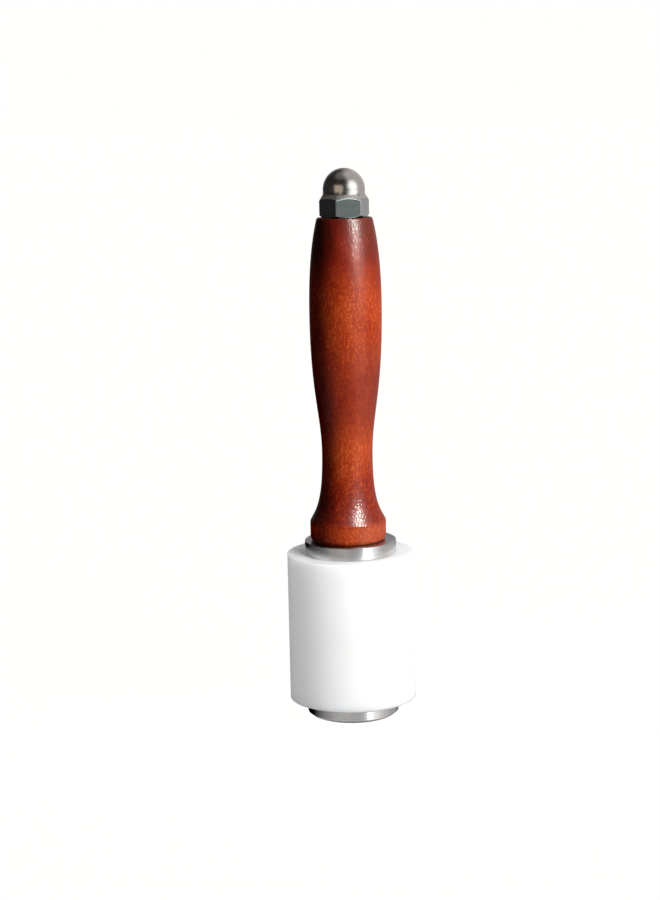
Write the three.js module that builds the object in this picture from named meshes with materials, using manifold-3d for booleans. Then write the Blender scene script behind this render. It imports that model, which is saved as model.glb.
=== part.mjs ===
// Leather carving mallet: a nylon head clamped between two steel discs on a threaded stud,
// with a turned wooden handle above it and a domed cap nut that holds the stack together.
// Lengths are millimetres. +Z runs up the stud, and z = 0 is the underside of the foot disc.

import * as THREE from 'three';
import { mergeVertices } from 'three/addons/utils/BufferGeometryUtils.js';
import Module from 'manifold-3d';

const wasm = await Module();
wasm.setup();

// Discs under and over the head
const discDiameter = 36;
const footThickness = 6.7;
const collarThickness = 5.1;
const discEdgeChamfer = 0.2;
const footBevel = { width: 1.35, height: 1.1 };

// Nylon head
const headDiameter = 50;
const headLength = 58.5;
const headEdgeChamfer = 0.2;

// Turned handle, with diameters and their heights above the collar
const handleLength = 126.2;
const handleBaseDiameter = 29.8;
const handleBandHeight = 7.7;
const handleWaistDiameter = 19.8;
const handleWaistHeight = 33.8;
const handleBellyDiameter = 28.1;
const handleBellyHeight = 90.9;
const handleTopDiameter = 21.4;
const handleBaseRounding = 1.6;
const handleTopRounding = 0.8;

// The hole runs slightly askew through the handle: at the base the outside stands this far
// off the stud, and at the top it is central
const handleBaseOffset = 0.8;

// Where the curves of the handle's outline steer, as shares of the rise and of the change in
// radius between the two named diameters that each curve joins
const flareStartShares = { radius: 0.33, rise: 0.146 };
const flareEndRiseShare = 0.776;
const swellStartRiseShare = 0.287;
const swellEndRiseShare = 0.586;
const crownRiseShare = 0.629;

// Threaded stud
const threadDiameter = 10;
const threadPitch = 1.5;
const threadClearance = 0.2;
const threadMouthChamfer = 0.6;
const nutThreadPastHex = 5.5;
const footThreadPastDisc = 3.5;
const studFootRecess = 0.5;
const studEndChamfer = 0.9;
const studHoleClearance = 0.3;
const slotWidth = 1.6;
const slotDepth = 2;

// Thread form as shares of the pitch: its depth, then where the crest ends and the root
// starts and ends along one turn that begins at a crest
const threadDepthShare = 0.6134;
const threadCrestEndShare = 0.125;
const threadRootStartShare = 0.479;
const threadRootEndShare = 0.646;

// Cap nut: a hexagon with a pressed dome welded on
const nutAcrossFlats = 17;
const nutHexHeight = 7.5;
const nutHeight = 18.8;
const nutChamferAngle = THREE.MathUtils.degToRad(30);
const nutTurnAngle = THREE.MathUtils.degToRad(10.9);
const domeWall = 1.3;
const domeSideClearance = 1.8;
const domeTipClearance = 4.5;
const domeWeldWidth = 0.3;
const domeWeldHeight = 0.8;

// One overrun for all cuts, and how finely the round forms are divided
const cutOverrun = 1;
const roundSegments = 64;
const domeSegments = 48;
const holeSegments = 36;
const threadSegments = 20;
const curveSteps = 9;
const filletSteps = 4;
const domeSteps = 8;

// Heights of the stack, from the foot upwards
const headBottom = footThickness;
const headTop = headBottom + headLength;
const handleBottom = headTop + collarThickness;
const handleTop = handleBottom + handleLength;
const nutHexTop = handleTop + nutHexHeight;
const nutTop = handleTop + nutHeight;
const studBottom = studFootRecess;
const studTop = nutTop - domeWall - domeTipClearance;

const discRadius = discDiameter / 2;
const studRadius = threadDiameter / 2;
const studHoleRadius = studRadius + studHoleClearance;
const threadDepth = threadPitch * threadDepthShare;
const domeInnerRadius = studRadius + domeSideClearance;
const domeRadius = domeInnerRadius + domeWall;

const steel = new THREE.MeshStandardMaterial({ color: 0xb4b7b8, roughness: 0.34, metalness: 1 });
const studSteel = new THREE.MeshStandardMaterial({ color: 0xa6a8a8, roughness: 0.4, metalness: 1 });
const nutSteel = new THREE.MeshStandardMaterial({ color: 0x7d8786, roughness: 0.3, metalness: 1 });
const domeSteel = new THREE.MeshStandardMaterial({ color: 0x9c9790, roughness: 0.18, metalness: 1 });
const nylon = new THREE.MeshStandardMaterial({ color: 0xf3f4f4, roughness: 0.45, metalness: 0 });
const wood = new THREE.MeshStandardMaterial({ color: 0x9a3a16, roughness: 0.3, metalness: 0 });

// A closed mesh from three.js as a solid that can be cut and joined
function toSolid(geometry) {
  const bare = geometry.clone();
  for (const name of Object.keys(bare.attributes)) {
    if (name !== 'position') bare.deleteAttribute(name);
  }
  const merged = mergeVertices(bare);
  const corners = merged.index.array;
  const kept = [];
  for (let i = 0; i < corners.length; i += 3) {
    const [a, b, c] = corners.slice(i, i + 3);
    if (a !== b && b !== c && c !== a) kept.push(a, b, c);
  }
  return new wasm.Manifold(new wasm.Mesh({
    numProp: 3,
    vertProperties: new Float32Array(merged.attributes.position.array),
    triVerts: new Uint32Array(kept),
  }));
}

function toGeometry(solid) {
  const mesh = solid.getMesh();
  const geometry = new THREE.BufferGeometry();
  geometry.setAttribute('position', new THREE.BufferAttribute(mesh.vertProperties, 3));
  geometry.setIndex(new THREE.BufferAttribute(mesh.triVerts, 1));
  return geometry;
}

// A solid turned about the Z axis from an outline of [radius, height] points, which runs
// upwards along its outside
function turned(outline, segments) {
  const points = outline.map(([radius, height]) => new THREE.Vector2(radius, height));
  const geometry = new THREE.LatheGeometry(points, segments);
  geometry.rotateX(Math.PI / 2);
  return toSolid(geometry);
}

function roundBar(radius, low, high, segments) {
  return turned([[0, low], [radius, low], [radius, high], [0, high]], segments);
}

// A round bar whose end corners are broken at 45 degrees, or the lower one by a bevel of its own
function chamferedBar(radius, low, high, chamfer, segments, bevel = { width: chamfer, height: chamfer }) {
  return turned([
    [0, low],
    [radius - bevel.width, low],
    [radius, low + bevel.height],
    [radius, high - chamfer],
    [radius - chamfer, high],
    [0, high],
  ], segments);
}

// Points of the arc that rounds the corner between two straight runs
function roundedCorner(before, corner, after, radius) {
  const at = new THREE.Vector2(...corner);
  const back = new THREE.Vector2(...before).sub(at).normalize();
  const on = new THREE.Vector2(...after).sub(at).normalize();
  const half = Math.acos(back.dot(on)) / 2;
  const middle = back.clone().add(on).normalize();
  const centre = middle.multiplyScalar(radius / Math.sin(half)).add(at);
  const start = back.multiplyScalar(radius / Math.tan(half)).add(at).sub(centre);
  const sweep = Math.PI - 2 * half;
  const points = [];
  for (let step = 0; step <= filletSteps; step += 1) {
    const spoke = start.clone().rotateAround(new THREE.Vector2(), (sweep * step) / filletSteps);
    points.push([centre.x + spoke.x, centre.y + spoke.y]);
  }
  return points;
}

function curvePoints(curve) {
  return curve.getPoints(curveSteps).map((point) => [point.x, point.y]);
}

// A bar with one helical ridge. Its turns are counted from z = 0, so a stud and a nut made
// with it are always in step with each other.
function threadedBar(crestRadius, low, high) {
  const rootRadius = crestRadius - threadDepth;
  const form = [
    { radius: crestRadius, share: 0 },
    { radius: crestRadius, share: threadCrestEndShare },
    { radius: rootRadius, share: threadRootStartShare },
    { radius: rootRadius, share: threadRootEndShare },
  ];
  const firstTurn = Math.floor(low / threadPitch) - 1;
  const turnCount = Math.ceil(high / threadPitch) + 1 - firstTurn;
  const rows = form.length * turnCount + 1;
  const place = (column, row) => {
    const point = form[row % form.length];
    const turn = firstTurn + Math.floor(row / form.length) + column / threadSegments;
    const angle = (2 * Math.PI * column) / threadSegments;
    return [
      point.radius * Math.cos(angle),
      point.radius * Math.sin(angle),
      threadPitch * (turn + point.share),
    ];
  };
  const positions = [];
  for (let column = 0; column < threadSegments; column += 1) {
    for (let row = 0; row < rows; row += 1) positions.push(...place(column, row));
  }
  const last = threadSegments - 1;
  const foot = positions.length / 3;
  positions.push(0, 0, place(0, 0)[2]);
  const tip = foot + 1;
  positions.push(0, 0, place(last, rows - 1)[2]);

  // One turn on, a column meets the first column again, one whole form higher
  const index = (column, row) => (
    column < threadSegments ? column * rows + row : row + form.length
  );
  const triangles = [];
  for (let column = 0; column < threadSegments; column += 1) {
    const top = column === last ? rows - form.length : rows;
    for (let row = 0; row + 1 < top; row += 1) {
      const a = index(column, row);
      const b = index(column + 1, row);
      const c = index(column + 1, row + 1);
      const d = index(column, row + 1);
      triangles.push(a, b, c, a, c, d);
    }
    triangles.push(foot, index(column + 1, 0), index(column, 0));
    if (column < last) triangles.push(tip, index(column, rows - 1), index(column + 1, rows - 1));
  }
  for (let step = 0; step < form.length; step += 1) {
    triangles.push(foot, index(0, step), index(0, step + 1));
    triangles.push(tip, index(last, rows - 1 - step), index(last, rows - 2 - step));
  }
  triangles.push(tip, index(last, rows - 1 - form.length), index(0, rows - 1));
  const helix = new wasm.Manifold(new wasm.Mesh({
    numProp: 3,
    vertProperties: new Float32Array(positions),
    triVerts: new Uint32Array(triangles),
  }));
  return helix.intersect(roundBar(crestRadius + cutOverrun, low, high, threadSegments));
}

function studHole(low, high) {
  return roundBar(studHoleRadius, low - cutOverrun, high + cutOverrun, holeSegments);
}

// A threaded hole from low to high, with its lower mouth opened out by a small cone
function tappedHole(low, high) {
  const mouth = turned([
    [0, low - cutOverrun],
    [studRadius + threadMouthChamfer + cutOverrun, low - cutOverrun],
    [studRadius, low + threadMouthChamfer],
    [0, low + threadMouthChamfer],
  ], holeSegments);
  return threadedBar(studRadius, low - cutOverrun, high + cutOverrun).add(mouth);
}

// The foot disc is tapped right through and screwed on to the stud
function makeFootDisc() {
  const disc = chamferedBar(discRadius, 0, footThickness, discEdgeChamfer, roundSegments, footBevel);
  return disc.subtract(tappedHole(0, footThickness));
}

// The stud is plain between its two threads, which run on past the disc and the nut, and it
// has a screwdriver slot in its foot end
function makeTieRod() {
  const crestRadius = studRadius - threadClearance;
  const footThreadTop = footThickness + footThreadPastDisc;
  const nutThreadBottom = handleTop - nutThreadPastHex;
  const shank = roundBar(studRadius, footThreadTop, nutThreadBottom, holeSegments);
  const footThread = threadedBar(crestRadius, studBottom, footThreadTop + cutOverrun);
  const nutThread = threadedBar(crestRadius, nutThreadBottom - cutOverrun, studTop);
  const envelope = chamferedBar(
    crestRadius + cutOverrun,
    studBottom,
    studTop,
    studEndChamfer + cutOverrun,
    holeSegments,
  );
  const threads = footThread.add(nutThread).intersect(envelope);
  const slot = new THREE.BoxGeometry(threadDiameter + cutOverrun, slotWidth, slotDepth + cutOverrun);
  slot.translate(0, 0, studBottom + (slotDepth - cutOverrun) / 2);
  return shank.add(threads).subtract(toSolid(slot));
}

function makeNylonHead() {
  const block = chamferedBar(headDiameter / 2, headBottom, headTop, headEdgeChamfer, roundSegments);
  return block.subtract(studHole(headBottom, headTop));
}

function makeCollarDisc() {
  const disc = chamferedBar(discRadius, headTop, handleBottom, discEdgeChamfer, roundSegments);
  return disc.subtract(studHole(headTop, handleBottom));
}

// The handle's outline from its base to its top: a straight band, a hollow flare up to the
// waist, a long swell to the belly and a crown that draws in under the nut
function handleOutline() {
  const base = handleBaseDiameter / 2;
  const waist = handleWaistDiameter / 2;
  const belly = handleBellyDiameter / 2;
  const top = handleTopDiameter / 2;
  const flareRise = handleWaistHeight - handleBandHeight;
  const swellRise = handleBellyHeight - handleWaistHeight;
  const crownRise = handleLength - handleBellyHeight;
  const flare = new THREE.CubicBezierCurve(
    new THREE.Vector2(base, handleBandHeight),
    new THREE.Vector2(
      base - flareStartShares.radius * (base - waist),
      handleBandHeight + flareStartShares.rise * flareRise,
    ),
    new THREE.Vector2(waist, handleWaistHeight - flareEndRiseShare * flareRise),
    new THREE.Vector2(waist, handleWaistHeight),
  );
  const swell = new THREE.CubicBezierCurve(
    new THREE.Vector2(waist, handleWaistHeight),
    new THREE.Vector2(waist, handleWaistHeight + swellStartRiseShare * swellRise),
    new THREE.Vector2(belly, handleBellyHeight - swellEndRiseShare * swellRise),
    new THREE.Vector2(belly, handleBellyHeight),
  );
  const crown = new THREE.QuadraticBezierCurve(
    new THREE.Vector2(belly, handleBellyHeight),
    new THREE.Vector2(belly, handleBellyHeight + crownRiseShare * crownRise),
    new THREE.Vector2(top, handleLength),
  );
  const crownPoints = curvePoints(crown);
  return [
    [0, 0],
    ...roundedCorner([0, 0], [base, 0], [base, handleBandHeight], handleBaseRounding),
    ...curvePoints(flare),
    ...curvePoints(swell).slice(1),
    ...crownPoints.slice(1, -1),
    ...roundedCorner(crownPoints.at(-2), [top, handleLength], [0, handleLength], handleTopRounding),
    [0, handleLength],
  ];
}

// The outside is turned first and then leant over, with its two ends kept level, so that the
// hole on the stud's axis comes out central at the top only
function makeHandle() {
  const outside = turned(handleOutline(), roundSegments).warp((vertex) => {
    vertex[0] -= handleBaseOffset * (1 - vertex[2] / handleLength);
  });
  return outside.translate([0, 0, handleBottom]).subtract(studHole(handleBottom, handleTop));
}

// One flat of the hexagon faces -Y, turned towards +X by the nut's turn angle. A cone cuts the
// corners back at each end, and it starts at the edge of the dome's weld.
function makeCapNutHex() {
  const flatRadius = domeRadius + domeWeldWidth;
  const cornerRadius = nutAcrossFlats / 2 / Math.cos(Math.PI / 6);
  const outerRadius = cornerRadius + cutOverrun;
  const coneRise = (outerRadius - flatRadius) * Math.tan(nutChamferAngle);
  const prism = new THREE.CylinderGeometry(cornerRadius, cornerRadius, nutHexHeight, 6);
  prism.rotateX(Math.PI / 2);
  prism.rotateZ(nutTurnAngle + Math.PI / 6);
  prism.translate(0, 0, handleTop + nutHexHeight / 2);
  const cones = turned([
    [0, handleTop],
    [flatRadius, handleTop],
    [outerRadius, handleTop + coneRise],
    [outerRadius, nutHexTop - coneRise],
    [flatRadius, nutHexTop],
    [0, nutHexTop],
  ], roundSegments);
  return toSolid(prism).intersect(cones).subtract(tappedHole(handleTop, nutHexTop));
}

// The dome is a pressed cup, open below, with a small weld fillet around its foot
function makeCapNutDome() {
  const centre = nutTop - domeRadius;
  const fromPole = (radius) => {
    const points = [];
    for (let step = 0; step <= domeSteps; step += 1) {
      const angle = ((Math.PI / 2) * step) / domeSteps;
      points.push([radius * Math.sin(angle), centre + radius * Math.cos(angle)]);
    }
    return points;
  };
  const weld = [];
  for (let step = 0; step <= filletSteps; step += 1) {
    const angle = ((Math.PI / 2) * step) / filletSteps;
    weld.push([
      domeRadius + domeWeldWidth * (1 - Math.sin(angle)),
      nutHexTop + domeWeldHeight * (1 - Math.cos(angle)),
    ]);
  }
  const inside = [...fromPole(domeInnerRadius), [domeInnerRadius, nutHexTop]];
  const outside = fromPole(domeRadius).reverse();
  return turned([...inside, ...weld, ...outside], domeSegments);
}

const mallet = new THREE.Group();

function addPart(group, name, solid, material) {
  const mesh = new THREE.Mesh(toGeometry(solid), material);
  mesh.name = name;
  group.add(mesh);
}

const head = new THREE.Group();
addPart(head, 'foot_disc', makeFootDisc(), steel);
addPart(head, 'tie_rod', makeTieRod(), studSteel);
addPart(head, 'nylon_head', makeNylonHead(), nylon);
addPart(head, 'collar_disc', makeCollarDisc(), steel);
mallet.add(head);

addPart(mallet, 'handle', makeHandle(), wood);

const capNut = new THREE.Group();
addPart(capNut, 'cap_nut_hex', makeCapNutHex(), nutSteel);
addPart(capNut, 'cap_nut_dome', makeCapNutDome(), domeSteel);
mallet.add(capNut);

export default mallet;
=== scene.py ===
"""The looks of a leather carving mallet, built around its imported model.

The mallet is a stack on one threaded stud. From the bench upwards it has a steel foot disc, a
white nylon head, a steel collar disc, a turned and stained wooden handle, and a cap nut made of
a hexagon with a polished dome. Each class below builds one part of the stack at full fineness,
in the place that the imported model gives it, and dresses it in its finish.

Lengths are metres. +Z runs up the stud, and the camera looks along +Y.
"""

import logging
import math
from collections.abc import Callable, Sequence
from dataclasses import dataclass, field
from enum import Enum
from functools import reduce

import bmesh
import bpy
from mathutils import Matrix, Vector


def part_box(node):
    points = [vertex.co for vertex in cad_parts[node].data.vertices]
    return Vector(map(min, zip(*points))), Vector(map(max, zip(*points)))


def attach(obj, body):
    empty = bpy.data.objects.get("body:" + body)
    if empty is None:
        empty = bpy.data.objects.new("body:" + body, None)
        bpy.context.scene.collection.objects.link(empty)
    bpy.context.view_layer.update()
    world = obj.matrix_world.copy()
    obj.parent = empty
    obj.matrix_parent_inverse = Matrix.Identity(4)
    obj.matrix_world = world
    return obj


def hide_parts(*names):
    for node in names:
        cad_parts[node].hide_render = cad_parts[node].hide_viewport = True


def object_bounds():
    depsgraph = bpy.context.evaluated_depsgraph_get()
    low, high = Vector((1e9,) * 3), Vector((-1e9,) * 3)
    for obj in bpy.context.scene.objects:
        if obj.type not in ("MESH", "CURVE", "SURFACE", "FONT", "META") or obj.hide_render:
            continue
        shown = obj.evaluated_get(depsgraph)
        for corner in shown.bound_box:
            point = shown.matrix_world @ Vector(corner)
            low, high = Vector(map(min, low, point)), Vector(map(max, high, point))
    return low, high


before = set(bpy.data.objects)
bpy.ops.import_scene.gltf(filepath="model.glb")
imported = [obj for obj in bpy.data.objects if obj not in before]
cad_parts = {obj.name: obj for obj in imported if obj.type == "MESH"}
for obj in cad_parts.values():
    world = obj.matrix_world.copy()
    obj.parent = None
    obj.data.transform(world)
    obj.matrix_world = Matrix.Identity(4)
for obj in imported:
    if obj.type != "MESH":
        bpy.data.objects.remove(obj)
CAD_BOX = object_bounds()

LOG = logging.getLogger("mallet")
MM = 0.001
QUARTER_TURN = math.pi / 2

Point = tuple[float, float]
Colour = tuple[float, float, float]

# Maps its first two numbers to its last two
Span = tuple[float, float, float, float]

Piece = bpy.types.Object
Material = bpy.types.Material
Socket = bpy.types.NodeSocket


class Body(Enum):
    """The bodies that a piece can ride on."""

    HEAD = "head"
    HANDLE = "handle"
    CAP_NUT = "cap_nut"


class Slot(Enum):
    """The record's material slots."""

    TURNED_STEEL = "turned_steel"
    STUD_STEEL = "stud_steel"
    WHITE_NYLON = "white_nylon"
    STAINED_WOOD = "stained_wood"
    NUT_STEEL = "nut_steel"
    DOME_STEEL = "dome_steel"


class Cut(Enum):
    """What a tool body does to the piece that it meets."""

    AWAY = "DIFFERENCE"
    JOIN = "UNION"


class Ease(Enum):
    """How a value runs from one end of a range to the other."""

    STRAIGHT = "LINEAR"
    SMOOTH = "SMOOTHSTEP"


# Outlines of turned pieces


@dataclass(frozen=True)
class Corner:
    """One corner of an outline.

    Args:
        radius: Distance from the axis.
        height: Height in the outline's own frame.
        rounding: Radius of the arc that breaks the corner, or zero for a plain point.
    """

    radius: float
    height: float
    rounding: float = 0.0


@dataclass
class Outline:
    """A half outline, walked along the outside of a turned piece.

    Args:
        corners: The corners in walking order.
        closed: True if the walk ends where it starts, as around a bored piece.
        arc_steps: Edges in each rounded corner.
        hold: Distance from a rounding at which a long side gets a further point, so that its
            shading stays flat up to its edge.
        long_side: How many times that point's distance a side measures before it gets one.
    """

    corners: list[Corner] = field(default_factory=list)
    closed: bool = True
    arc_steps: int = 5
    hold: float = 0.25 * MM
    long_side: float = 3.0

    def add(self, radius: float, height: float, rounding: float = 0.0) -> "Outline":
        """Adds a corner and returns the outline, so that calls can follow each other."""
        self.corners.append(Corner(radius, height, rounding))
        return self

    def run(self, points: Sequence[Point], rounding: float = 0.0) -> "Outline":
        """Adds a run of corners that are all rounded alike, and returns the outline."""
        self.corners.extend(Corner(radius, height, rounding) for radius, height in points)
        return self

    def points(self) -> list[Point]:
        """Works the outline out.

        Returns:
            The points in walking order. A closed outline repeats its first point at the end.
        """
        found: list[Point] = []
        for number, corner in enumerate(self.corners):
            if corner.rounding:
                after = self.corners[(number + 1) % len(self.corners)]
                found.extend(self._arc(self.corners[number - 1], corner, after))
            else:
                found.append((corner.radius, corner.height))
        return found + found[:1] if self.closed else found

    def _arc(self, before: Corner, corner: Corner, after: Corner) -> list[Point]:
        """Rounds one corner, with a holding point on each long side of it.

        Args:
            before: The corner before it.
            corner: The corner.
            after: The corner after it.

        Returns:
            The points.
        """
        at = Vector((corner.radius, corner.height))
        back = Vector((before.radius, before.height)) - at
        on = Vector((after.radius, after.height)) - at
        back_room, on_room = back.length, on.length
        back.normalize()
        on.normalize()
        half = math.acos(max(-1.0, min(1.0, back.dot(on)))) / 2
        reach = corner.rounding / math.tan(half)
        centre = at + (back + on).normalized() * (corner.rounding / math.sin(half))
        spoke = at + back * reach - centre
        turn = math.copysign(math.pi - 2 * half, -back.cross(on))
        held = reach + self.hold
        found: list[Point] = []
        if back_room > self.long_side * held:
            found.append(tuple(at + back * held))
        for step in range(self.arc_steps + 1):
            angle = turn * step / self.arc_steps
            x = spoke.x * math.cos(angle) - spoke.y * math.sin(angle)
            y = spoke.x * math.sin(angle) + spoke.y * math.cos(angle)
            found.append((centre.x + x, centre.y + y))
        if on_room > self.long_side * held:
            found.append(tuple(at + on * held))
        return found


def bezier(guides: Sequence[Point], steps: int) -> list[Point]:
    """Points along a Bezier curve of any degree, both ends among them.

    Args:
        guides: The curve's control points.
        steps: How many edges the curve is drawn with.

    Returns:
        The points.
    """
    found: list[Point] = []
    for step in range(steps + 1):
        row = [Vector(guide) for guide in guides]
        while len(row) > 1:
            row = [a.lerp(b, step / steps) for a, b in zip(row, row[1:])]
        found.append(tuple(row[0]))
    return found


# Objects and meshes


def linked(name: str, data: bpy.types.ID) -> Piece:
    """Makes an object and links it into the scene.

    Args:
        name: Its name.
        data: Its mesh, light or camera.

    Returns:
        The object.
    """
    made = bpy.data.objects.new(name, data)
    bpy.context.scene.collection.objects.link(made)
    return made


def bake_modifiers(carrier: Piece, name: str) -> Piece:
    """Turns an object and its modifiers into a new object with a plain mesh.

    Args:
        carrier: The object to read. It is removed.
        name: Name of the new object.

    Returns:
        The new object.
    """
    bpy.context.view_layer.update()
    graph = bpy.context.evaluated_depsgraph_get()
    mesh = bpy.data.meshes.new_from_object(carrier.evaluated_get(graph))
    bpy.data.objects.remove(carrier)
    mesh.name = name
    return linked(name, mesh)


def finish_mesh(work: bmesh.types.BMesh, piece: Piece) -> None:
    """Turns all faces outwards and writes the mesh back to its piece.

    Args:
        work: The mesh in work. It is freed.
        piece: The object that gets it.
    """
    bmesh.ops.remove_doubles(work, verts=work.verts[:], dist=TurningTree.WELD)
    bmesh.ops.recalc_face_normals(work, faces=work.faces[:])
    work.to_mesh(piece.data)
    work.free()
    piece.data.update()


def carve(piece: Piece, tool: Piece, cut: Cut) -> Piece:
    """Cuts a tool body out of a piece, or joins the two.

    Args:
        piece: The piece. It is replaced by the result.
        tool: The tool body. It is removed.
        cut: What to do.

    Returns:
        The result, under the piece's name.
    """
    name = piece.name
    piece.name = name + "_blank"
    modifier = piece.modifiers.new("cut", "BOOLEAN")
    modifier.operation = cut.value
    modifier.solver = "EXACT"
    modifier.object = tool
    result = bake_modifiers(piece, name)
    bpy.data.objects.remove(tool)
    return result


# Node trees


class NodeTree:
    """A node tree that is wired by short calls."""

    def __init__(self, tree: bpy.types.NodeTree) -> None:
        """Takes the tree that the nodes go into."""
        self.tree = tree

    def feed(self, node: bpy.types.Node, feeds: dict[str | int, object]) -> None:
        """Feeds a node's inputs.

        Args:
            node: The node.
            feeds: A socket or a plain value for each input, under the input's name or number.
                A plain colour has three parts.
        """
        for name, value in feeds.items():
            socket = node.inputs[name]
            if isinstance(value, Socket):
                self.tree.links.new(value, socket)
            else:
                socket.default_value = (*value, 1.0) if socket.type == "RGBA" else value

    def step(
        self, kind: str, feeds: dict[str | int, object], out: str | int = 0, **settings: object
    ) -> Socket:
        """Adds a node, sets it and feeds it.

        Args:
            kind: The node's type.
            feeds: What goes into its inputs.
            out: Name or number of the output that is wanted.
            settings: The node's properties.

        Returns:
            That output.
        """
        node = self.tree.nodes.new(kind)
        for name, value in settings.items():
            setattr(node, name, value)
        self.feed(node, feeds)
        return node.outputs[out]

    def maths(self, operation: str, *values: object) -> Socket:
        """One step of arithmetic on numbers or sockets."""
        return self.step("ShaderNodeMath", dict(enumerate(values)), operation=operation)

    def total(self, *values: object) -> Socket:
        """The sum of numbers or sockets."""
        return reduce(lambda first, second: self.maths("ADD", first, second), values)

    def parts(self, vector: Socket) -> tuple[Socket, Socket, Socket]:
        """The three parts of a vector."""
        return tuple(self.step("ShaderNodeSeparateXYZ", {0: vector}).node.outputs)

    def span(
        self, value: Socket, low: float, high: float, to_low: float, to_high: float, ease: Ease = Ease.SMOOTH
    ) -> Socket:
        """A value mapped from one range to another, and held beyond its ends."""
        feeds = dict(enumerate((value, low, high, to_low, to_high)))
        return self.step("ShaderNodeMapRange", feeds, interpolation_type=ease.value)


# Geometry Nodes that turn outlines and wind threads


class GeometryTree(NodeTree):
    """A Geometry Nodes tree with named inputs, run once and baked into a plain mesh."""

    def __init__(self, name: str, inputs: dict[str, str]) -> None:
        """Makes the tree and its sockets.

        Args:
            name: The tree's name.
            inputs: Each input's name and its socket type.
        """
        super().__init__(bpy.data.node_groups.new(name, "GeometryNodeTree"))
        face = self.tree.interface
        face.new_socket("Geometry", in_out="OUTPUT", socket_type="NodeSocketGeometry")
        inputs = {"Geometry": "NodeSocketGeometry"} | inputs | {"Material": "NodeSocketMaterial"}
        for label, kind in inputs.items():
            face.new_socket(label, in_out="INPUT", socket_type=kind)
        self.given = self.step("NodeGroupInput", {}).node.outputs

    def polar(self, radius: Socket, angle: Socket, height: Socket) -> Socket:
        """A position from its radius, its angle about Z and its height."""
        x, y = (self.maths("MULTIPLY", radius, self.maths(part, angle)) for part in ("COSINE", "SINE"))
        return self.step("ShaderNodeCombineXYZ", {0: x, 1: y, 2: height})

    def grid(self, columns: Socket, rows: Socket | int) -> tuple[Socket, Socket, Socket]:
        """A sheet of vertices.

        Args:
            columns: Number of vertices around.
            rows: Number of vertices along.

        Returns:
            The sheet, and each vertex's share of the way around and along it.
        """
        sheet = self.step("GeometryNodeMeshGrid", {"Vertices X": columns, "Vertices Y": rows})
        around, along, _ = self.parts(sheet.node.outputs["UV Map"])
        return sheet, around, along

    def close(self, sheet: Socket, position: Socket, weld: float) -> None:
        """Moves the sheet's vertices, welds its seams and ends the tree.

        Args:
            sheet: The mesh to move.
            position: The place of each vertex.
            weld: Distance under which vertices become one.
        """
        moved = self.step("GeometryNodeSetPosition", {"Geometry": sheet, "Position": position})
        welded = self.step("GeometryNodeMergeByDistance", {"Geometry": moved, "Distance": weld})
        smooth = self.step("GeometryNodeSetShadeSmooth", {"Geometry": welded})
        real = self.step("GeometryNodeRealizeInstances", {"Geometry": smooth})
        finish = {"Geometry": real, "Material": self.given["Material"]}
        dressed = self.step("GeometryNodeSetMaterial", finish)
        self.feed(self.tree.nodes.new("NodeGroupOutput"), {0: dressed})

    def bake(self, name: str, values: dict[str, object], points: Sequence[Point] = ()) -> Piece:
        """Runs the tree on a set of outline points.

        Args:
            name: Name of the piece.
            values: A value for each named input.
            points: Outline points of radius and height, for a tree that reads them.

        Returns:
            A new object with a plain mesh, at the origin.
        """
        source = bpy.data.meshes.new(name + "_outline")
        source.from_pydata([(radius, 0.0, height) for radius, height in points], [], [])
        carrier = linked(name + "_outline", source)
        modifier = carrier.modifiers.new("nodes", "NODES")
        modifier.node_group = self.tree
        for item in self.tree.interface.items_tree:
            if item.in_out == "INPUT" and item.name in values:
                modifier[item.identifier] = values[item.name]
        return bake_modifiers(carrier, name)


class TurningTree(GeometryTree):
    """Turns an outline about the Z axis, as a lathe does."""

    WELD = 0.0005 * MM

    def __init__(self) -> None:
        """Builds the tree: a sheet whose rows read the outline's points."""
        super().__init__("turned_form", {"Segments": "NodeSocketInt"})
        outline = {"Geometry": self.given["Geometry"]}
        rows = self.step("GeometryNodeAttributeDomainSize", outline, "Point Count", component="MESH")
        sheet, around, along = self.grid(self.total(self.given["Segments"], 1.0), rows)
        row = self.maths("ROUND", self.maths("MULTIPLY", along, self.maths("SUBTRACT", rows, 1.0)))
        feeds = outline | {"Value": self.step("GeometryNodeInputPosition", {}), "Index": row}
        point = self.step("GeometryNodeSampleIndex", feeds, data_type="FLOAT_VECTOR", domain="POINT")
        radius, _, height = self.parts(point)
        angle = self.maths("MULTIPLY", around, 2 * math.pi)
        self.close(sheet, self.polar(radius, angle, height), self.WELD)


@dataclass(frozen=True)
class ThreadForm:
    """The form of a screw thread, as shares of its pitch.

    Args:
        pitch: Rise of one turn.
        depth_share: Depth from crest to root.
        middle_share: Where the root's middle lies, counted from where the crest starts.
        root_share: Width of the root's flat.
        crest_share: Width of the crest's flat.
    """

    pitch: float = 1.5 * MM
    depth_share: float = 0.6134
    middle_share: float = 0.5625
    root_share: float = 0.167
    crest_share: float = 0.125

    @property
    def depth(self) -> float:
        """Depth from crest to root."""
        return self.pitch * self.depth_share


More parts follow.
